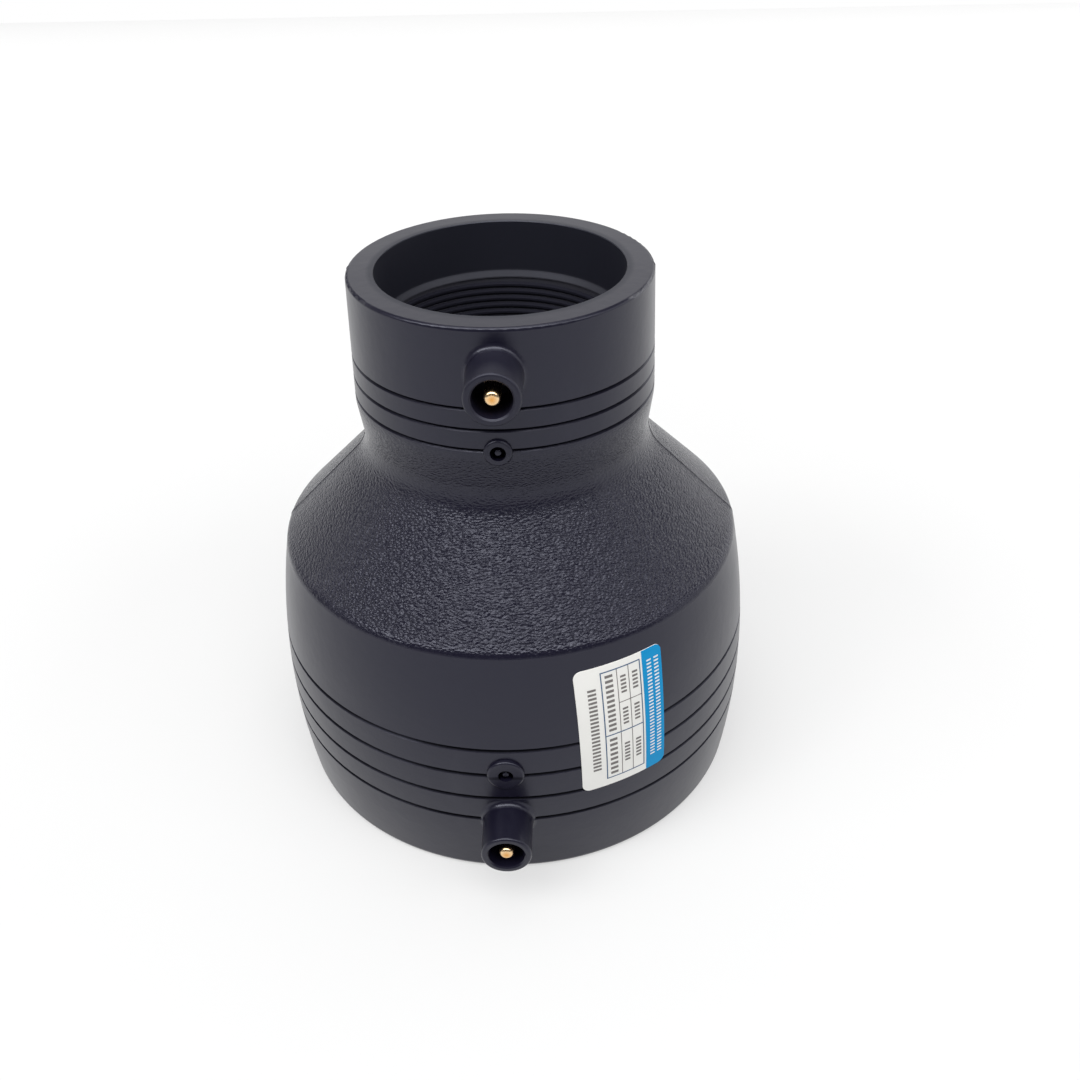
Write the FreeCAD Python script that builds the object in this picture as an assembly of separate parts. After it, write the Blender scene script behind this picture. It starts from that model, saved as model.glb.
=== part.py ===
import FreeCAD, Part
import math
import os

from FreeCAD import Vector

# Electrofusion reducer, joining a 110 mm pipe to a 63 mm pipe.
# Millimetres. The origin is the centre of the large mouth, +Z points to the small mouth,
# and both terminals face -Y. The fitting stands on its large mouth.

# Outer form, radii about Z. Drafts are taken off the crown's radius, insets down from the small mouth
body_height = 153.6
large_crown_radius = 70.8
large_crown_height = 31.3
large_mouth_draft = 2.1
shoulder_draft = 5.3
shoulder_height = 77.7
neck_radius = 38.8
neck_inset = 49.0
small_bulge_radius = 40.8
small_bulge_inset = 33.6
small_mouth_radius = 39.6

# Roundings of the outer form
large_mouth_rounding = 2.0
shoulder_rounding = 3.3
neck_rounding = 13.0
small_bulge_rounding = 12.0
small_mouth_rounding = 0.9

# Sockets: the pipe goes in past a wide entry, over the winding, and up to a stop
small_entry_radius = 32.5
small_entry_depth = 14.3
small_socket_radius = 31.85
small_socket_depth = 55.6
large_entry_radius = 56.4
large_entry_depth = 22.6
large_socket_radius = 55.5
large_socket_depth = 68.0
lead_in_length = 1.7
mouth_chamfer = 0.2

# Way through between the two stops
small_stop_radius = 27.0
large_stop_radius = 51.0
transition_wall = 14.0

# Moulded rings round the outside
large_ring_width = 1.3
large_ring_depth = 0.65
small_ring_width = 1.0
small_ring_depth = 0.75
large_ring_height = 23.0
large_ring_pitch = 8.6
large_ring_count = 4
small_ring_inset = 20.5
small_ring_pitch = 5.5
small_ring_count = 3

# Terminal shrouds
small_terminal_inset = 11.6
large_terminal_height = 23.0
shroud_radius = 6.75
shroud_reach = 12.3
shroud_flare = 1.5
shroud_edge_rounding = 0.7
shroud_bore_radius = 4.85
shroud_bore_depth = 12.0
shroud_bore_chamfer = 0.4

# Terminal pins
pin_radius = 2.0
pin_setback = 0.4
pin_tip_rounding = 1.2
pin_collar_radius = 2.8
pin_collar_length = 1.2
pin_stem_radius = 2.2
pin_stem_length = 4.4
pin_neck_radius = 1.6
pin_neck_length = 1.4

# Fusion indicators
small_indicator_inset = 31.8
large_indicator_height = 41.0
small_pad_radius = 3.6
large_pad_radius = 5.0
pad_height = 0.9
pad_rounding = 0.6
well_radius = 2.0
well_depth = 4.5
riser_radius = 0.9
riser_setback = 0.4
riser_rounding = 0.4

# Heating wire: flat-backed turns with a ridge towards the pipe
small_ridge_height = 0.4
large_ridge_height = 0.5
ridge_crest = 0.5
turn_gap = 0.25
small_coil_pitch = 2.1
small_coil_turns = 11
large_coil_pitch = 3.0
large_coil_turns = 12
crest_clearance = 0.2
winding_clearance = 0.05
lead_bite = 0.2
end_land = 0.6
lead_radius = 0.5
lead_bend = 1.5
lead_depth = 2.4
end_overrun = 1.2

# Mould parting line, a fine rib down both sides
parting_width = 0.3
parting_height = 0.12

# Construction: how far a cut runs out past a surface, and how near counts as the same place
run_out = 2.0
same_place = 0.01

# Label, and its print as a band, a ruled table and plain marks
label_width = 25.5
label_length = 40.4
label_corner = 2.2
label_turn = 26.7
label_drop = 26.4
label_tilt = 1.5
label_thickness = 0.15
label_room = 4.0
print_thickness = 0.05
band_width = 6.2
table_left = 7.0
table_foot = 2.5
table_width = 11.7
table_length = 36.0
table_frame_line = 0.3
table_inner_line = 0.2
table_columns = (0, 0.40, 0.69, 1)
table_rows = (0, 0.43, 0.70, 1)
cell_margin = 0.9
mark_share = 0.5
title_mark_width = 2.3
title_left = 3.2
title_foot = 6.4
title_length = 28.2
title_marks = 22
heading_mark_width = 2.2
heading_marks = (8, 12)
figure_mark_width = 1.6
figure_mark_pitch = 1.2
figure_marks = (6, 5, 5)
band_mark_width = 1.5
band_mark_rows = (1.4, 3.7)
band_mark_foot = 4.4
band_mark_length = 33.0
band_marks = 30

# Sizes that follow from those above
large_mouth_radius = large_crown_radius - large_mouth_draft
shoulder_radius = large_crown_radius - shoulder_draft
neck_height = body_height - neck_inset
small_bulge_height = body_height - small_bulge_inset
small_terminal_height = body_height - small_terminal_inset
small_indicator_height = body_height - small_indicator_inset
label_height = shoulder_height - label_drop
small_pipe_stop = body_height - small_socket_depth
small_recess_radius = small_socket_radius - crest_clearance + small_ridge_height + winding_clearance
large_recess_radius = large_socket_radius - crest_clearance + large_ridge_height + winding_clearance
small_coil_length = small_coil_turns * small_coil_pitch + small_coil_pitch - turn_gap
large_coil_length = large_coil_turns * large_coil_pitch + large_coil_pitch - turn_gap
small_coil_top = body_height - small_entry_depth - lead_in_length - end_land
small_coil_foot = small_coil_top - small_coil_length
large_coil_foot = large_entry_depth + lead_in_length + end_land
large_coil_top = large_coil_foot + large_coil_length


def at(radius, height):
    return Vector(radius, 0, height)


def turned(points):
    """A solid of revolution about Z from a closed outline of points."""
    outline = Part.makePolygon(points + [points[0]])
    return Part.Face(outline).revolve(Vector(0, 0, 0), Vector(0, 0, 1), 360)


def crown_circle():
    """Centre and radius of the arc that crowns the large barrel."""
    arc = Part.Arc(at(large_mouth_radius, 0), at(large_crown_radius, large_crown_height),
                   at(shoulder_radius, shoulder_height)).toShape().Curve
    return arc.Center, arc.Radius


def wall_radius(height):
    """Outer radius at a height on either barrel, before the roundings."""
    if height <= shoulder_height:
        centre, radius = crown_circle()
        return centre.x + math.sqrt(radius ** 2 - (height - centre.z) ** 2)
    if height >= small_bulge_height:
        share = (height - small_bulge_height) / (body_height - small_bulge_height)
        return small_bulge_radius + share * (small_mouth_radius - small_bulge_radius)
    share = (height - neck_height) / (small_bulge_height - neck_height)
    return neck_radius + share * (small_bulge_radius - neck_radius)


def ring_edge(solid, height, radius):
    """The circular edge of a turned solid at one height and radius."""
    for edge in solid.Edges:
        box = edge.BoundBox
        misses = (box.ZMin - height, box.ZMax - height, box.XMax - radius)
        if all(abs(miss) < same_place for miss in misses):
            return edge
    raise ValueError("no edge at height %.2f, radius %.2f" % (height, radius))


def facing_front(solid, height):
    """Turn a solid built along +Z so that it points to -Y at a height."""
    solid.rotate(Vector(0, 0, 0), Vector(1, 0, 0), 90)
    solid.translate(Vector(0, 0, height))
    return solid


def outer_form(proud=0.0):
    """The plain outer form, rounded, with every radius larger by proud."""
    def out(radius, height):
        return at(radius + proud, height)

    crown = Part.Arc(out(large_mouth_radius, 0), out(large_crown_radius, large_crown_height),
                     out(shoulder_radius, shoulder_height)).toShape()
    rest = Part.makePolygon([
        out(shoulder_radius, shoulder_height),
        out(neck_radius, neck_height),
        out(small_bulge_radius, small_bulge_height),
        out(small_mouth_radius, body_height),
        at(0, body_height),
        at(0, 0),
        out(large_mouth_radius, 0),
    ])
    solid = Part.Face(Part.Wire([crown] + rest.Edges)).revolve(Vector(0, 0, 0), Vector(0, 0, 1), 360)
    roundings = [
        (0, large_mouth_radius, large_mouth_rounding),
        (shoulder_height, shoulder_radius, shoulder_rounding),
        (neck_height, neck_radius, neck_rounding),
        (small_bulge_height, small_bulge_radius, small_bulge_rounding),
        (body_height, small_mouth_radius, small_mouth_rounding),
    ]
    for height, radius, rounding in roundings:
        solid = solid.makeFillet(rounding, [ring_edge(solid, height, radius + proud)])
    return solid


def with_shroud(solid, height):
    """Add one terminal shroud, flared into the wall."""
    wall = wall_radius(height)
    root = wall - shroud_radius
    mouth = wall + shroud_reach
    boss = Part.makeCylinder(shroud_radius, mouth - root)
    boss = boss.makeFillet(shroud_edge_rounding, [ring_edge(boss, mouth - root, shroud_radius)])
    boss.translate(Vector(0, 0, root))
    solid = solid.fuse(facing_front(boss, height))
    foot = []
    for edge in solid.Edges:
        points = edge.discretize(9)
        on_side = all(abs(math.hypot(p.x, p.z - height) - shroud_radius) < same_place for p in points)
        behind_mouth = all(p.y > shroud_edge_rounding + same_place - mouth for p in points)
        if on_side and behind_mouth and points[0].y < 0:
            foot.append(edge)
    return solid.makeFillet(shroud_flare, foot)


def indicator_pad(height, pad_radius):
    """The low round pad that an indicator well is sunk into."""
    wall = wall_radius(height)
    root = wall - pad_radius
    pad = Part.makeCylinder(pad_radius, wall + pad_height - root)
    pad = pad.makeFillet(pad_rounding, [ring_edge(pad, wall + pad_height - root, pad_radius)])
    pad.translate(Vector(0, 0, root))
    return facing_front(pad, height)


def indicator_well(height):
    floor = wall_radius(height) + pad_height - well_depth
    well = Part.makeCylinder(well_radius, well_depth + run_out, Vector(0, 0, floor))
    return facing_front(well, height)


def indicator_riser(height):
    """The pin moulded in the well, which rises when the joint has fused."""
    floor = wall_radius(height) + pad_height - well_depth
    length = well_depth - riser_setback
    riser = Part.makeCylinder(riser_radius, length)
    riser = riser.makeFillet(riser_rounding, [ring_edge(riser, length, riser_radius)])
    riser.translate(Vector(0, 0, floor))
    return facing_front(riser, height)


def terminal_space(height):
    """The hollow of a shroud, open at its mouth."""
    mouth = wall_radius(height) + shroud_reach
    wide = shroud_bore_radius + shroud_bore_chamfer
    floor = mouth - shroud_bore_depth
    bore = Part.makeCylinder(shroud_bore_radius, shroud_bore_depth + run_out, Vector(0, 0, floor))
    lip = Part.makeCone(shroud_bore_radius, wide, shroud_bore_chamfer,
                        Vector(0, 0, mouth - shroud_bore_chamfer))
    return facing_front(bore.fuse(lip), height)


def pin_neck_place(height):
    """Distance from Z to the middle of the neck that the wire is fixed to."""
    floor = wall_radius(height) + shroud_reach - shroud_bore_depth
    return floor - pin_collar_length - pin_stem_length / 2


def terminal_pin(height):
    """A turned pin: free end, collar under the shroud's floor, and a necked stem."""
    mouth = wall_radius(height) + shroud_reach
    tip = mouth - pin_setback
    floor = mouth - shroud_bore_depth
    collar = floor - pin_collar_length
    foot = collar - pin_stem_length
    neck = pin_neck_place(height)
    pin = turned([
        at(0, foot),
        at(pin_stem_radius, foot),
        at(pin_stem_radius, neck - pin_neck_length / 2),
        at(pin_neck_radius, neck - pin_neck_length / 2),
        at(pin_neck_radius, neck + pin_neck_length / 2),
        at(pin_stem_radius, neck + pin_neck_length / 2),
        at(pin_stem_radius, collar),
        at(pin_collar_radius, collar),
        at(pin_collar_radius, floor),
        at(pin_radius, floor),
        at(pin_radius, tip),
        at(0, tip),
    ])
    pin = pin.makeFillet(pin_tip_rounding, [ring_edge(pin, tip, pin_radius)])
    return facing_front(pin, height)


def front_clearance(height, radius):
    """A round space in front of the axis, where the moulded rings stop."""
    return facing_front(Part.makeCylinder(radius, 2 * large_crown_radius), height)


def v_ring(height, width, depth):
    """The V section of one ring, turned round the wall and standing out of it."""
    wall = wall_radius(height)
    outside = depth / 2
    half = width / 2 * (1 + outside / depth)
    return turned([
        at(wall - depth, height),
        at(wall + outside, height - half),
        at(wall + outside, height + half),
    ])


def moulded_rings():
    """The fine V rings cut round both barrels, which stop at the terminals and indicators."""
    rings = []
    for i in range(large_ring_count):
        height = large_ring_height + i * large_ring_pitch
        rings.append(v_ring(height, large_ring_width, large_ring_depth))
    for i in range(small_ring_count):
        height = body_height - small_ring_inset - i * small_ring_pitch
        rings.append(v_ring(height, small_ring_width, small_ring_depth))
    shroud_foot = shroud_radius + shroud_flare / 2
    clear = [
        front_clearance(small_terminal_height, shroud_foot),
        front_clearance(large_terminal_height, shroud_foot),
        front_clearance(small_indicator_height, small_pad_radius),
        front_clearance(large_indicator_height, large_pad_radius),
    ]
    return Part.makeCompound([ring.cut(clear) for ring in rings])


def parting_rib():
    """The mould's parting line, down both sides of the fitting."""
    slab = Part.makeBox(4 * large_crown_radius, parting_width, body_height,
                        Vector(-2 * large_crown_radius, -parting_width / 2, 0))
    return outer_form(parting_height).common(slab)


def transition_height(radius, share):
    """Height of the cone at a radius: share 0 is the outer face, 1 the inner face."""
    slope = (shoulder_radius - neck_radius) / (neck_height - shoulder_height)
    outer = radius + share * transition_wall * math.hypot(1, slope)
    return neck_height - (outer - neck_radius) / slope


def pipe_space():
    """Everything inside the body that pipe, winding or flow takes up."""
    large_lead_in = large_entry_depth + lead_in_length
    small_lead_in = body_height - small_entry_depth - lead_in_length
    return turned([
        at(0, -run_out),
        at(large_entry_radius + mouth_chamfer + run_out, -run_out),
        at(large_entry_radius, mouth_chamfer),
        at(large_entry_radius, large_entry_depth),
        at(large_socket_radius, large_lead_in),
        at(large_socket_radius, large_coil_foot - turn_gap),
        at(large_recess_radius, large_coil_foot - turn_gap),
        at(large_recess_radius, large_coil_top + turn_gap),
        at(large_socket_radius, large_coil_top + turn_gap),
        at(large_socket_radius, large_socket_depth),
        at(large_stop_radius, large_socket_depth),
        at(large_stop_radius, transition_height(large_stop_radius, 1)),
        at(small_stop_radius, transition_height(small_stop_radius, 1)),
        at(small_stop_radius, small_pipe_stop),
        at(small_socket_radius, small_pipe_stop),
        at(small_socket_radius, small_coil_foot - turn_gap),
        at(small_recess_radius, small_coil_foot - turn_gap),
        at(small_recess_radius, small_coil_top + turn_gap),
        at(small_socket_radius, small_coil_top + turn_gap),
        at(small_socket_radius, small_lead_in),
        at(small_entry_radius, body_height - small_entry_depth),
        at(small_entry_radius, body_height - mouth_chamfer),
        at(small_entry_radius + mouth_chamfer + run_out, body_height + run_out),
        at(0, body_height + run_out),
    ])


def coil(recess_radius, ridge_height, pitch, turns, foot):
    """One winding: a flat-backed ridge laid in its recess, its ends over the terminals."""
    width = pitch - turn_gap
    back = recess_radius - winding_clearance
    overrun = math.degrees(end_overrun / back)
    length = pitch * (turns + 2 * overrun / 360)
    path = Part.Wire(Part.makeHelix(pitch, length, back))
    corners = [
        at(back, -width / 2),
        at(back - ridge_height, -ridge_crest / 2),
        at(back - ridge_height, ridge_crest / 2),
        at(back, width / 2),
    ]
    section = Part.makePolygon(corners + [corners[0]])
    winding = path.makePipeShell([section], True, True)
    winding.rotate(Vector(0, 0, 0), Vector(0, 0, 1), -90 - overrun)
    winding.translate(Vector(0, 0, foot + width / 2))
    return winding


def bent_wire(points):
    """A round wire in the plane through both terminals, bent at each inner point."""
    places = [Vector(0, -radius, height) for radius, height in points]
    edges = []
    start = places[0]
    for before, corner, after in zip(places, places[1:], places[2:]):
        back = (before - corner).normalize()
        ahead = (after - corner).normalize()
        half_turn = (math.pi - back.getAngle(ahead)) / 2
        trim = lead_bend * math.tan(half_turn)
        first = corner + back * trim
        last = corner + ahead * trim
        middle = corner + (back + ahead).normalize() * (lead_bend / math.cos(half_turn) - lead_bend)
        edges.append(Part.LineSegment(start, first).toShape())
        edges.append(Part.Arc(first, middle, last).toShape())
        start = last
    edges.append(Part.LineSegment(start, places[-1]).toShape())
    ring = Part.Wire(Part.makeCircle(lead_radius, places[0], places[1] - places[0]))
    return Part.Wire(edges).makePipeShell([ring], True, False)


def coil_ends(pitch, turns, foot):
    """Heights of the first and last turn where they pass the terminals."""
    low = foot + (pitch - turn_gap) / 2
    return low, low + pitch * turns


def heating_wire():
    """Both windings, the link between them and a lead to each pin."""
    small_bite = small_recess_radius - winding_clearance - lead_bite
    large_bite = large_recess_radius - winding_clearance - lead_bite
    small_low, small_high = coil_ends(small_coil_pitch, small_coil_turns, small_coil_foot)
    large_low, large_high = coil_ends(large_coil_pitch, large_coil_turns, large_coil_foot)
    small_run = small_recess_radius + lead_depth
    large_run = large_recess_radius + lead_depth
    small_lead = bent_wire([
        (pin_neck_place(small_terminal_height), small_terminal_height - pin_neck_radius),
        (pin_neck_place(small_terminal_height), small_high),
        (small_bite, small_high),
    ])
    large_lead = bent_wire([
        (pin_neck_place(large_terminal_height), large_terminal_height + pin_neck_radius),
        (pin_neck_place(large_terminal_height), large_low),
        (large_bite, large_low),
    ])
    link = bent_wire([
        (small_bite, small_low),
        (small_run, small_low),
        (small_run, transition_height(small_run, 0.5)),
        (large_run, transition_height(large_run, 0.5)),
        (large_run, large_high),
        (large_bite, large_high),
    ])
    small_coil = coil(small_recess_radius, small_ridge_height, small_coil_pitch, small_coil_turns,
                      small_coil_foot)
    large_coil = coil(large_recess_radius, large_ridge_height, large_coil_pitch, large_coil_turns,
                      large_coil_foot)
    wire = small_coil.fuse([small_lead, link, large_lead, large_coil])
    leads = [small_lead, link, large_lead]
    return wire, leads


def body(pins, leads):
    """The moulded body, with the pins and the wire set in it."""
    solid = outer_form()
    for height in (small_terminal_height, large_terminal_height):
        solid = with_shroud(solid, height)
    solid = solid.fuse(parting_rib())
    solid = solid.cut(moulded_rings())
    solid = solid.fuse([
        indicator_pad(small_indicator_height, small_pad_radius),
        indicator_pad(large_indicator_height, large_pad_radius),
    ])
    hollows = [pipe_space()]
    risers = []
    for height in (small_indicator_height, large_indicator_height):
        hollows.append(indicator_well(height))
        risers.append(indicator_riser(height))
    for height in (small_terminal_height, large_terminal_height):
        hollows.append(terminal_space(height))
    solid = solid.cut(hollows + pins + leads)
    return solid.fuse(risers)


def crown_film(inner, outer):
    """A film on the large barrel between two thicknesses, with room round the label."""
    centre, radius = crown_circle()
    low = label_height - label_length / 2 - label_room
    high = label_height + label_length / 2 + label_room

    def on_crown(thickness, height):
        reach = math.sqrt((radius + thickness) ** 2 - (height - centre.z) ** 2)
        return at(centre.x + reach, height)

    inside = [on_crown(inner, height) for height in (low, label_height, high)]
    outside = [on_crown(outer, height) for height in (low, label_height, high)]
    edges = [
        Part.Arc(*inside).toShape(),
        Part.LineSegment(inside[2], outside[2]).toShape(),
        Part.Arc(*outside).toShape(),
        Part.LineSegment(outside[0], inside[0]).toShape(),
    ]
    face = Part.Face(Part.Wire(Part.__sortEdges__(edges)))
    sweep = math.degrees((label_width + 4 * label_room) / large_crown_radius)
    face.rotate(Vector(0, 0, 0), Vector(0, 0, 1), label_turn - 90 - sweep / 2)
    return face.revolve(Vector(0, 0, 0), Vector(0, 0, 1), sweep)


def stamp(left, foot, width, length, corner=0.0):
    """A block through the barrel's wall over one field of the label, from the label's lower left."""
    block = Part.makeBox(width, length, large_crown_radius, Vector(left, foot, large_crown_radius / 2))
    if corner:
        upright = [edge for edge in block.Edges if abs(edge.tangentAt(edge.FirstParameter).z) > 0.9]
        block = block.makeFillet(corner, upright)
    block.translate(Vector(-label_width / 2, -label_length / 2, 0))
    block.rotate(Vector(0, 0, 0), Vector(0, 0, 1), label_tilt)
    facing_front(block, label_height)
    block.rotate(Vector(0, 0, 0), Vector(0, 0, 1), label_turn)
    return block


def marks(left, width, foot, length, count):
    """A column of equal plain marks, where the sticker carries a line of print."""
    pitch = length / count
    inset = pitch * (1 - mark_share) / 2
    return [stamp(left, foot + i * pitch + inset, width, pitch * mark_share) for i in range(count)]


def label():
    return crown_film(0, label_thickness).common(stamp(0, 0, label_width, label_length, label_corner))


def label_blue_print():
    """The band along the label's right side, with its marks left open, and the table's frame."""
    ink = crown_film(label_thickness, label_thickness + print_thickness)
    whole = stamp(0, 0, label_width, label_length, label_corner)
    band_left = label_width - band_width
    side = stamp(band_left, -label_room, band_width + label_room, label_length + 2 * label_room)
    open_marks = []
    for row in band_mark_rows:
        open_marks += marks(band_left + row, band_mark_width, band_mark_foot, band_mark_length, band_marks)
    band = ink.common(whole.common(side)).cut(open_marks)
    line = table_frame_line
    bottom, divider, _, top = [table_foot + share * table_length for share in table_rows]
    inner_width = table_width - 2 * line
    lower_cells = stamp(table_left + line, bottom + line, inner_width, divider - bottom - 1.5 * line)
    upper_cells = stamp(table_left + line, divider + line / 2, inner_width, top - divider - 1.5 * line)
    frame = stamp(table_left, table_foot, table_width, table_length).cut([lower_cells, upper_cells])
    return Part.makeCompound(band.Solids + ink.common(frame).Solids)


def label_black_print():
    """The table's inner lines, and plain marks for each line of print."""
    ink = crown_film(label_thickness, label_thickness + print_thickness)
    left, first, second, right = [table_left + share * table_width for share in table_columns]
    bottom, divider, upper, top = [table_foot + share * table_length for share in table_rows]
    edge = table_frame_line
    inner = table_inner_line
    blocks = []
    for side in (first, second):
        blocks.append(stamp(side - inner / 2, bottom + edge, inner, divider - bottom - 2 * edge))
    upper_lines = [stamp(first, upper - inner / 2, right - first - edge, inner)]
    for side in (first, second):
        upper_lines.append(stamp(side - inner / 2, divider + edge, inner, top - divider - 2 * edge))
    blocks.append(upper_lines[0].multiFuse(upper_lines[1:]))
    blocks += marks(title_left, title_mark_width, title_foot, title_length, title_marks)
    middle = (left + first - heading_mark_width) / 2
    for low, high, count in zip((bottom, divider), (divider, top), heading_marks):
        blocks += marks(middle, heading_mark_width, low + cell_margin, high - low - 2 * cell_margin, count)
    for middle in ((first + second - figure_mark_width) / 2, (second + right - figure_mark_width) / 2):
        for low, high, count in zip((bottom, divider, upper), (divider, upper, top), figure_marks):
            length = count * figure_mark_pitch
            blocks += marks(middle, figure_mark_width, (low + high - length) / 2, length, count)
    return Part.makeCompound([solid for block in blocks for solid in ink.common(block).Solids])


def main():
    os.makedirs("parts", exist_ok=True)
    wire, leads = heating_wire()
    pins = {
        "small_terminal_pin": terminal_pin(small_terminal_height),
        "large_terminal_pin": terminal_pin(large_terminal_height),
    }
    nodes = {
        "body": body(list(pins.values()), leads),
        "heating_wire": wire,
        "label": label(),
        "label_blue_print": label_blue_print(),
        "label_black_print": label_black_print(),
    }
    nodes.update(pins)
    for name, shape in nodes.items():
        shape.exportStep("parts/%s.step" % name)
        print(name, len(shape.Solids), "solid(s), valid", shape.isValid(), "volume %.1f" % shape.Volume)


main()
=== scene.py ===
import math

import bmesh
import bpy
from mathutils import Matrix, Vector


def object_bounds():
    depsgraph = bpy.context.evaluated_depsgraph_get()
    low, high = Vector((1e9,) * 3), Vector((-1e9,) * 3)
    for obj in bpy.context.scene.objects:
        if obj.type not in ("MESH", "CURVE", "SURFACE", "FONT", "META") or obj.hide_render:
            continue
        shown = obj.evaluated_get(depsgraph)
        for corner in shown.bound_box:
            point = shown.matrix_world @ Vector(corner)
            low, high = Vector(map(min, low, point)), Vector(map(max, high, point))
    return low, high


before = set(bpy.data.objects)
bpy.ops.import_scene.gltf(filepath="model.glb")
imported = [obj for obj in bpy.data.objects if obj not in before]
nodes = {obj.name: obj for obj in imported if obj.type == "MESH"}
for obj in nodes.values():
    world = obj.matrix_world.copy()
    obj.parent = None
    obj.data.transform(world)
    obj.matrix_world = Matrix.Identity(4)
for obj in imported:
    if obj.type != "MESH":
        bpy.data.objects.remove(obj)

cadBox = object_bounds()
print("frame loaded:", ", ".join(sorted(nodes)))


# Noise textures wander about this value.
noiseMiddle = 0.5
# The Mix node's sockets for colours: its two inputs and its output.
mixFirst, mixSecond, mixResult = 6, 7, 2


# A Signal is one shader node's output, so heights and masks read as plain expressions.
class Signal:
    def __init__(self, tree, socket=None):
        self.tree = tree
        self.socket = socket

    def node(self, kind, settings, values, out=0):
        added = self.tree.nodes.new(kind)
        for key, setting in settings.items():
            if key == "stops":
                setStops(added.color_ramp.elements, setting)
            else:
                setattr(added, key, setting)
        for key, value in values.items():
            if isinstance(value, Signal):
                self.tree.links.new(value.socket, added.inputs[key])
            else:
                added.inputs[key].default_value = value
        return Signal(self.tree, added.outputs[out])

    def maths(self, operation, *values):
        return self.node("ShaderNodeMath", {"operation": operation}, dict(enumerate(values)))

    def __add__(self, other):
        return self.maths("ADD", self, other)

    def __sub__(self, other):
        return self.maths("SUBTRACT", self, other)

    def __rsub__(self, other):
        return self.maths("SUBTRACT", other, self)

    def __mul__(self, other):
        return self.maths("MULTIPLY", self, other)

    def feed(self, shader, name):
        self.tree.links.new(self.socket, shader.inputs[name])


def setStops(elements, stops):
    for element, (place, shade) in zip(elements, stops):
        element.position = place
        element.color = (shade, shade, shade, 1)


def newFinish(name, constants):
    material = bpy.data.materials.new(name)
    material.use_nodes = True
    shader = material.node_tree.nodes["Principled BSDF"]
    for key, value in constants.items():
        shader.inputs[key].default_value = value
    return material, shader, Signal(material.node_tree)


def objectPlace(start):
    return start.node("ShaderNodeTexCoord", {}, {}, "Object")


def surfacePlace(start, scale=(1, 1, 1)):
    return start.node("ShaderNodeMapping", {}, {"Vector": objectPlace(start), "Scale": scale})


def heightAbove(start):
    return start.node("ShaderNodeSeparateXYZ", {}, {0: objectPlace(start)}, "Z")


# Distance from the upright axis.
def outwards(start):
    flat = start.node("ShaderNodeVectorMath", {"operation": "MULTIPLY"},
                      {0: objectPlace(start), 1: (1, 1, 0)})
    return start.node("ShaderNodeVectorMath", {"operation": "LENGTH"}, {0: flat}, "Value")


# 0 below a middle value and 1 above it, with a soft step between.
def rising(height, middle, soft):
    limits = {"From Min": middle - soft, "From Max": middle + soft}
    return height.node("ShaderNodeMapRange", {}, {"Value": height, **limits})


# 1 between two heights, 0 past them.
def zone(height, low, high, soft):
    return rising(height, low, soft) - rising(height, high, soft)


def noise(place, scale, detail=2.0, rough=0.5):
    values = {"Vector": place, "Scale": scale, "Detail": detail, "Roughness": rough}
    return place.node("ShaderNodeTexNoise", {}, values, "Fac")


def blend(factor, first, second):
    first, second = [c if isinstance(c, Signal) else (*c, 1) for c in (first, second)]
    values = {"Factor": factor, mixFirst: first, mixSecond: second}
    return factor.node("ShaderNodeMix", {"data_type": "RGBA"}, values, mixResult)


def relief(height):
    return height.node("ShaderNodeBump", {}, {"Height": height, "Distance": 1.0})


# Moulded black polyethylene: barrels with faint turning marks, a leather grain on neck and cone,
# rougher sockets painted lighter to lift their shade with a painted highlight at the lead-in, and
# painted shade in the bottoms of the rings.
polyethylene = {
    "constants": {"IOR": 1.5, "Specular IOR Level": 0.46, "Specular Tint": (0.84, 0.86, 1.0, 1)},
    "colour": (0.0058, 0.0052, 0.0130),
    "worn": (0.0120, 0.0112, 0.0200),
    "edge": 0.0006,
    "grainLow": 0.0784,
    "grainHigh": 0.1212,
    "grainEdge": 0.0012,
    "grainSize": 0.0010,
    "grainFlat": 1.9,
    "wanderScale": 0.5,
    "grainWander": 1.2,
    "grainMiddle": 0.42,
    "grainDepth": 0.00032,
    "creaseScale": 1.6,
    "creaseDetail": 3.0,
    "creaseRough": 0.6,
    "creaseDepth": 0.00016,
    "neckHeight": 0.1035,
    "neckSoftness": 0.0030,
    "neckShare": 0.28,
    "turningPitch": 0.0011,
    "turningDetail": 4.0,
    "turningRough": 0.7,
    "turningDepth": 0.000010,
    "peelSize": 0.004,
    "peelDepth": 0.00005,
    "mattLow": 0.0765,
    "smoothGloss": 0.30,
    "grainGloss": 0.26,
    "scuffScale": 60.0,
    "scuffStretch": 0.35,
    "scuffDetail": 5.0,
    "scuffRough": 0.62,
    "wornStops": [(0.55, 0.0), (0.8, 1.0)],
    "scuffGloss": 0.12,
    # Painted light: the socket walls are coloured lighter than the outside to lift their shade.
    "bore": (0.0125, 0.0130, 0.0200),
    # Painted highlight: the lead-in band is coloured lighter still.
    "leadInPaintedHighlight": (0.0400, 0.0405, 0.0500),
    # Painted light: the recess between the turns is coloured lighter to lift the shade there.
    "recess": (0.0360, 0.0360, 0.0460),
    "leadInLow": 0.1376,
    "leadInHigh": 0.1393,
    "leadInEdge": 0.0005,
    "smallBore": 0.0340,
    "largeBore": 0.0575,
    "boreStep": 0.0775,
    "boreRise": 0.0090,
    "boreGloss": 0.46,
    # Painted shade: the near-black colour of the bottoms of the rings.
    "ringShadeColour": (0.0010, 0.0010, 0.0018),
    "ringSoftness": 0.00018,
    "largeRings": {
        "first": 0.0230,
        "pitch": 0.0086,
        "count": 4,
        "wall": 0.0716,
        "reach": 0.00050,
        "paintedShadeShare": 0.85,
    },
    "smallRings": {
        "first": 0.1221,
        "pitch": 0.0055,
        "count": 3,
        "wall": 0.0412,
        "reach": 0.00034,
        "paintedShadeShare": 0.40,
    },
    "proudGloss": 0.16,
}


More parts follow.
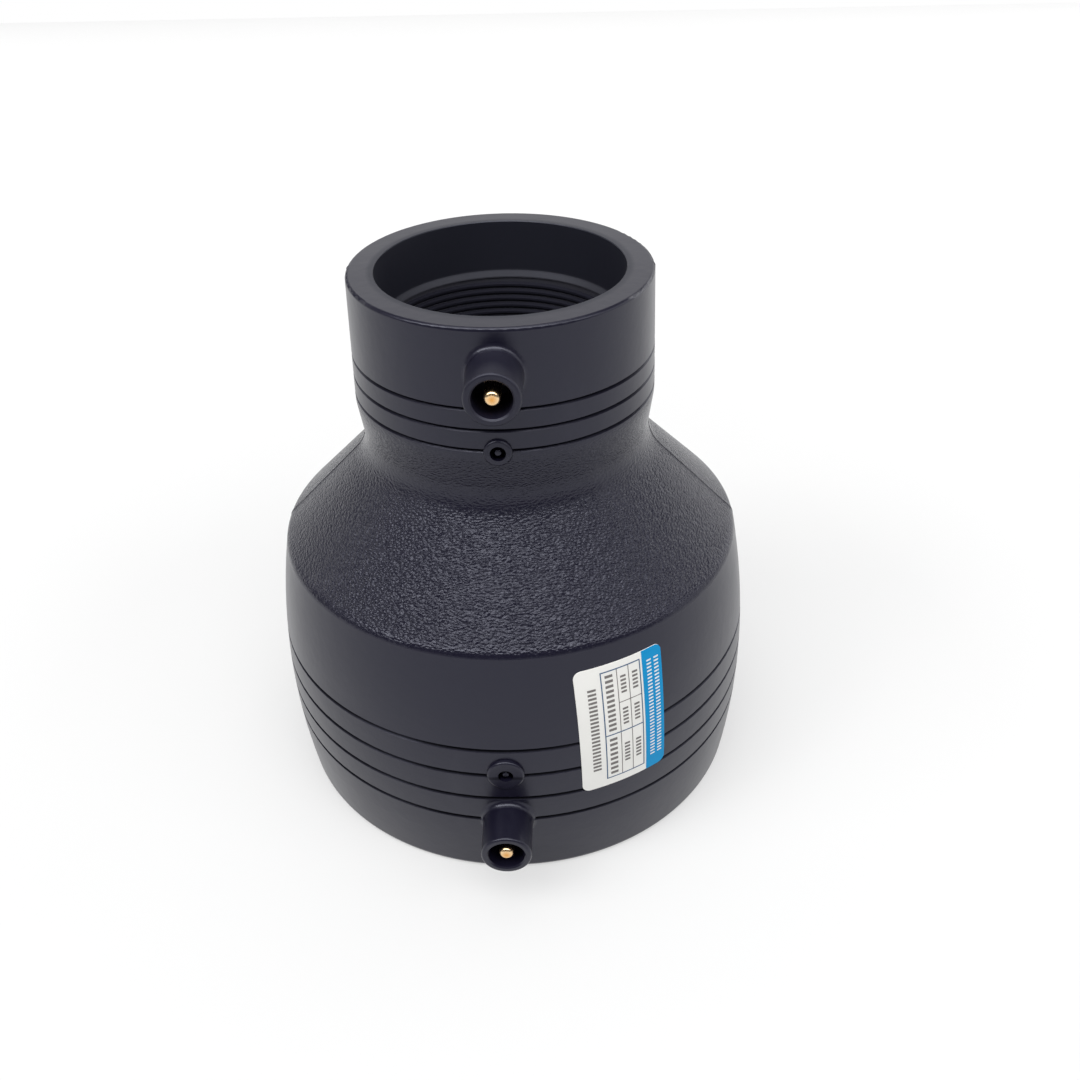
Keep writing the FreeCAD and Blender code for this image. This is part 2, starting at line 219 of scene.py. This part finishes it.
# 0 on the walls of the sockets and of the way through, 1 on the outside of the body.
def boreEdge(start, look):
    reach = outwards(start)
    above = rising(heightAbove(start), look["boreStep"], look["boreRise"])
    limit = look["largeBore"] - above * (look["largeBore"] - look["smallBore"])
    return rising(reach - limit, 0, look["edge"])


# Painted shade at the bottoms of evenly spaced rings: 0 between them and on what stands off the
# wall.
def paintedRingShade(start, look, rings):
    height = heightAbove(start)
    steps = (height - rings["first"]) * (1 / rings["pitch"])
    away = (steps - steps.maths("ROUND", steps)) * rings["pitch"]
    away = away.maths("ABSOLUTE", away)
    low = rings["first"] - rings["pitch"] / 2
    band = zone(height, low, low + rings["pitch"] * rings["count"], look["edge"])
    wall = 1 - rising(outwards(start), rings["wall"], look["edge"])
    return (1 - rising(away, rings["reach"], look["ringSoftness"])) * band * wall * rings["paintedShadeShare"]


# Height of the leather grain: flat pebbles with creases between them, shallower on the neck.
def leatherGrain(start, look):
    cells = 1 / look["grainSize"]
    wander = noise(surfacePlace(start), cells * look["wanderScale"])
    place = surfacePlace(start, (cells, cells, cells * look["grainFlat"]))
    shift = wander * look["grainWander"]
    place = start.node("ShaderNodeVectorMath", {"operation": "ADD"}, {0: place, 1: shift})
    distance = start.node("ShaderNodeTexVoronoi", {"feature": "F1"},
                          {"Vector": place, "Scale": 1.0}, "Distance")
    creases = noise(place, look["creaseScale"], look["creaseDetail"], look["creaseRough"])
    creases = creases - noiseMiddle
    grain = (look["grainMiddle"] - distance) * look["grainDepth"] + creases * look["creaseDepth"]
    neck = rising(heightAbove(start), look["neckHeight"], look["neckSoftness"])
    return grain * (1 - neck * (1 - look["neckShare"]))


def makePolyethylene():
    look = polyethylene
    material, shader, start = newFinish("blackPolyethylene", look["constants"])
    height = heightAbove(start)
    outside = boreEdge(start, look)
    inside = 1 - outside
    grained = zone(height, look["grainLow"], look["grainHigh"], look["grainEdge"]) * outside
    matt = zone(height, look["mattLow"], look["grainHigh"], look["grainEdge"])
    turned = surfacePlace(start, (1, 1, 1 / look["turningPitch"]))
    turning = noise(turned, 1.0, look["turningDetail"], look["turningRough"])
    peel = noise(surfacePlace(start), 1 / look["peelSize"])
    scuffed = surfacePlace(start, (1, 1, look["scuffStretch"]))
    scuffs = noise(scuffed, look["scuffScale"], look["scuffDetail"], look["scuffRough"])
    smooth = 1 - grained
    surface = leatherGrain(start, look) * grained + turning * smooth * look["turningDepth"]
    relief(surface + peel * look["peelDepth"]).feed(shader, "Normal")
    proud = rising(outwards(start), look["smallRings"]["wall"], look["edge"])
    proud = proud * rising(height, look["grainHigh"], look["edge"])
    gloss = (1 - matt) * look["smoothGloss"] + matt * look["grainGloss"]
    gloss = gloss + proud * look["proudGloss"]
    gloss = gloss * outside + inside * look["boreGloss"]
    (gloss + (scuffs - noiseMiddle) * look["scuffGloss"]).feed(shader, "Roughness")
    worn = start.node("ShaderNodeValToRGB", {"stops": look["wornStops"]}, {0: scuffs})
    # Painted highlight on the lead-in band, and painted light lifting the shade of the recess below
    # it.
    aboveLeadIn = rising(height, look["leadInHigh"], look["leadInEdge"])
    upper = blend(aboveLeadIn, look["leadInPaintedHighlight"], look["bore"])
    aboveRecess = rising(height, look["leadInLow"], look["leadInEdge"])
    socket = blend(aboveRecess, look["recess"], upper)
    rings = paintedRingShade(start, look, look["largeRings"])
    rings = (rings + paintedRingShade(start, look, look["smallRings"])) * outside
    # Painted shade: the bottoms of the rings are made a black metal, which mirrors nothing,
    # so they stay black from every side.
    rings.feed(shader, "Metallic")
    # Painted shade: the bottoms of the rings take the near-black colour.
    skin = blend(rings, blend(worn, look["colour"], look["worn"]), look["ringShadeColour"])
    blend(outside, socket, skin).feed(shader, "Base Color")
    return material


# Winding: resistance wire in a dull black coat, with shallow waves.
coatedWire = {
    "constants": {"IOR": 1.5, "Specular IOR Level": 0.12, "Specular Tint": (0.84, 0.86, 1.0, 1)},
    "colour": (0.0085, 0.0085, 0.0140),
    "pressed": (0.0125, 0.0123, 0.0200),
    "gloss": 0.68,
    "drawSize": 0.0012,
    "drawDepth": 0.00003,
    "drawGloss": 0.14,
}


def makeCoatedWire():
    look = coatedWire
    material, shader, start = newFinish("coatedWire", look["constants"])
    waves = noise(surfacePlace(start), 1 / look["drawSize"])
    relief(waves * look["drawDepth"]).feed(shader, "Normal")
    ((waves - noiseMiddle) * look["drawGloss"] + look["gloss"]).feed(shader, "Roughness")
    blend(waves, look["colour"], look["pressed"]).feed(shader, "Base Color")
    return material


# Terminal pins: turned brass with fine tool rings along the pin, and a shallow dimple in the tip
# coloured a deeper orange.
pinBrass = {
    "constants": {"Metallic": 1.0},
    "colour": (0.88, 0.66, 0.40),
    "dull": (0.74, 0.49, 0.26),
    "middle": 0.0825,
    "apart": 0.0595,
    "tip": (0.72, 0.36, 0.10),
    "tipReach": 0.0008,
    "tipEdge": 0.0006,
    "tipDepth": 0.00010,
    "gloss": 0.26,
    "toolPitch": 0.00009,
    "toolDepth": 0.000006,
    "stainScale": 900.0,
    "stainDetail": 3.0,
    "stainRough": 0.6,
    "stainGloss": 0.16,
}


# Distance from the axis of the nearer pin. One pin is as far above the middle height as the other
# is below it.
def besidePin(start, look):
    side = start.node("ShaderNodeSeparateXYZ", {}, {0: objectPlace(start)}, "X")
    rise = heightAbove(start) - look["middle"]
    rise = rise.maths("ABSOLUTE", rise) - look["apart"]
    square = side * side + rise * rise
    return square.maths("SQRT", square)


def makePinBrass():
    look = pinBrass
    material, shader, start = newFinish("pinBrass", look["constants"])
    tool = noise(surfacePlace(start, (1, 1 / look["toolPitch"], 1)), 1.0)
    stains = noise(surfacePlace(start), look["stainScale"], look["stainDetail"], look["stainRough"])
    tip = 1 - rising(besidePin(start, look), look["tipReach"], look["tipEdge"])
    relief(tool * look["toolDepth"] - tip * look["tipDepth"]).feed(shader, "Normal")
    ((stains - noiseMiddle) * look["stainGloss"] + look["gloss"]).feed(shader, "Roughness")
    stained = blend(stains, look["colour"], look["dull"])
    blend(tip, stained, look["tip"]).feed(shader, "Base Color")
    return material


# Sticker: a coated film, and two inks that lie on it.
sticker = {
    "constants": {"IOR": 1.45, "Specular IOR Level": 0.15},
    "film": (0.785, 0.780, 0.755),
    "blue": (0.001, 0.255, 0.547),
    "ink": (0.175, 0.165, 0.160),
    "thinBlue": (0.055, 0.105, 0.190),
    "turn": 26.7,
    "tilt": 1.5,
    "bandStart": 0.00759,
    "bandEdge": 0.0001,
    "shade": 0.9,
    "gloss": 0.46,
    "fibreScale": 2600.0,
    "fibreDetail": 3.0,
    "fibreRough": 0.6,
    "fibreShade": 0.3,
    "fibreDepth": 0.00001,
    "fibreGloss": 0.1,
    "waveScale": 90.0,
    "waveDetail": 3.0,
    "waveShade": 0.6,
    "waveDepth": 0.00012,
}


# Distance across the sticker, to tell its blue band from the frame of the table beside it.
def acrossSticker(start, look):
    turn, tilt = math.radians(look["turn"]), math.radians(look["tilt"])
    across = (math.cos(turn) * math.cos(tilt), math.sin(turn) * math.cos(tilt), math.sin(tilt))
    return start.node("ShaderNodeVectorMath", {"operation": "DOT_PRODUCT"},
                      {0: objectPlace(start), 1: across}, "Value")


def makeSticker(name, colour, thin=None):
    look = sticker
    material, shader, start = newFinish(name, look["constants"])
    fibres = noise(surfacePlace(start), look["fibreScale"], look["fibreDetail"], look["fibreRough"])
    waves = noise(surfacePlace(start), look["waveScale"], look["waveDetail"])
    relief(fibres * look["fibreDepth"] + waves * look["waveDepth"]).feed(shader, "Normal")
    ((fibres - noiseMiddle) * look["fibreGloss"] + look["gloss"]).feed(shader, "Roughness")
    shaded = [c * look["shade"] for c in colour]
    base = blend(waves * look["waveShade"] + fibres * look["fibreShade"], colour, shaded)
    if thin:
        band = rising(acrossSticker(start, look), look["bandStart"], look["bandEdge"])
        base = blend(band, thin, base)
    base.feed(shader, "Base Color")
    return material


def dressNodes():
    brass = makePinBrass()
    finishes = {
        "body": makePolyethylene(),
        "heating_wire": makeCoatedWire(),
        "small_terminal_pin": brass,
        "large_terminal_pin": brass,
        "label": makeSticker("stickerFilm", sticker["film"]),
        "label_blue_print": makeSticker("stickerBlue", sticker["blue"], sticker["thinBlue"]),
        "label_black_print": makeSticker("stickerInk", sticker["ink"]),
    }
    for name, finish in finishes.items():
        for place in nodes[name].material_slots:
            place.material = finish
        print("dressed", name)


dressNodes()


# Studio: a pale floor that glows a little, less near the part, under soft boxes of light.
studio = {
    "floorSize": 2.6,
    "floorColour": (0.35, 0.35, 0.35),
    "floorDusk": (0.34, 0.34, 0.34),
    "floorRoughness": 0.7,
    "cloudScale": 3.0,
    "glow": 1.0,
    "glowNear": (0.46, 0.46, 0.46),
    "glowFar": (0.63, 0.63, 0.63),
    "glowReach": 0.38,
    "glowSoftness": 0.22,
    "backdrop": 1.0,
    "fill": 0.10,
    "lights": [
        {"name": "backBox", "place": (0.0, 1.25, 0.55), "size": (1.8, 0.9), "power": 4.3},
        {"name": "backLeftBox", "place": (-1.1, 0.9, 0.45), "size": (0.9, 0.8), "power": 2.0},
        {"name": "backRightBox", "place": (1.1, 0.9, 0.45), "size": (0.9, 0.8), "power": 4.0},
        {"name": "leftBox", "place": (-1.3, 0.0, 0.5), "size": (0.9, 0.9), "power": 0.5},
        {"name": "rightBox", "place": (1.3, 0.0, 0.5), "size": (0.9, 0.9), "power": 2.5},
        {"name": "topBox", "place": (0.0, 0.15, 1.4), "size": (1.0, 1.0), "power": 5.5},
        {"name": "frontLeftBox", "place": (-1.0, -0.5, 1.1), "size": (0.7, 0.6), "power": 6.5},
        {"name": "frontTopBox", "place": (-0.1, -0.60, 1.35), "size": (1.8, 0.6), "power": 21.0},
        {"name": "frontRightBox", "place": (1.0, -0.5, 1.1), "size": (0.7, 0.6), "power": 4.5},
    ],
}


def makeFloor():
    mesh = bpy.data.meshes.new("paleFloor")
    shape = bmesh.new()
    bmesh.ops.create_grid(shape, x_segments=1, y_segments=1, size=studio["floorSize"] / 2)
    shape.to_mesh(mesh)
    shape.free()
    floor = bpy.data.objects.new("paleFloor", mesh)
    bpy.context.scene.collection.objects.link(floor)
    material, shader, start = newFinish("paleFloor", {
        "Roughness": studio["floorRoughness"],
        "Emission Strength": studio["glow"],
    })
    clouds = noise(surfacePlace(start), studio["cloudScale"])
    blend(clouds, studio["floorColour"], studio["floorDusk"]).feed(shader, "Base Color")
    reach = start.node("ShaderNodeVectorMath", {"operation": "LENGTH"},
                       {0: objectPlace(start)}, "Value")
    far = rising(reach, studio["glowReach"], studio["glowSoftness"])
    blend(far, studio["glowNear"], studio["glowFar"]).feed(shader, "Emission Color")
    mesh.materials.append(material)


def makeLights():
    for light in studio["lights"]:
        lamp = bpy.data.lights.new(light["name"], "AREA")
        lamp.shape = "RECTANGLE"
        lamp.size, lamp.size_y = light["size"]
        lamp.energy = light["power"]
        lit = bpy.data.objects.new(light["name"], lamp)
        lit.location = light["place"]
        aim = Vector((0, 0, cadBox[1][2] / 2)) - Vector(light["place"])
        lit.rotation_euler = aim.to_track_quat("-Z", "Y").to_euler()
        lit.visible_camera = False
        bpy.context.scene.collection.objects.link(lit)
    world = bpy.data.worlds.new("softSky")
    world.use_nodes = True
    sky = world.node_tree.nodes["Background"]
    sky.inputs["Color"].default_value = (1, 1, 1, 1)
    seen = Signal(world.node_tree).node("ShaderNodeLightPath", {}, {}, "Is Camera Ray")
    (seen * (studio["backdrop"] - studio["fill"]) + studio["fill"]).feed(sky, "Strength")
    bpy.context.scene.world = world
    bpy.context.scene.view_settings.view_transform = "Standard"


# Camera: place and angles fitted to the photograph.
view = {
    "place": (0.01608, -0.26298, 0.25461),
    "yaw": -1.65,
    "pitch": 35.58,
    "roll": -1.38,
    "lens": 35.49,
    "sensor": 36.0,
    "near": 0.01,
}


def makeCamera():
    yaw, pitch, roll = (math.radians(view[key]) for key in ("yaw", "pitch", "roll"))
    forward = Vector((
        math.sin(yaw) * math.cos(pitch),
        math.cos(yaw) * math.cos(pitch),
        -math.sin(pitch),
    ))
    level = Vector((math.cos(yaw), -math.sin(yaw), 0))
    upright = level.cross(forward)
    right = level * math.cos(roll) + upright * math.sin(roll)
    up = upright * math.cos(roll) - level * math.sin(roll)
    lens = bpy.data.cameras.new("photoCamera")
    lens.lens = view["lens"]
    lens.sensor_width = view["sensor"]
    lens.clip_start = view["near"]
    camera = bpy.data.objects.new("photoCamera", lens)
    turn = Matrix((right, up, -forward)).transposed().to_4x4()
    camera.matrix_world = Matrix.Translation(view["place"]) @ turn
    bpy.context.scene.collection.objects.link(camera)
    bpy.context.scene.camera = camera


makeFloor()
makeLights()
makeCamera()
print("studio ready")
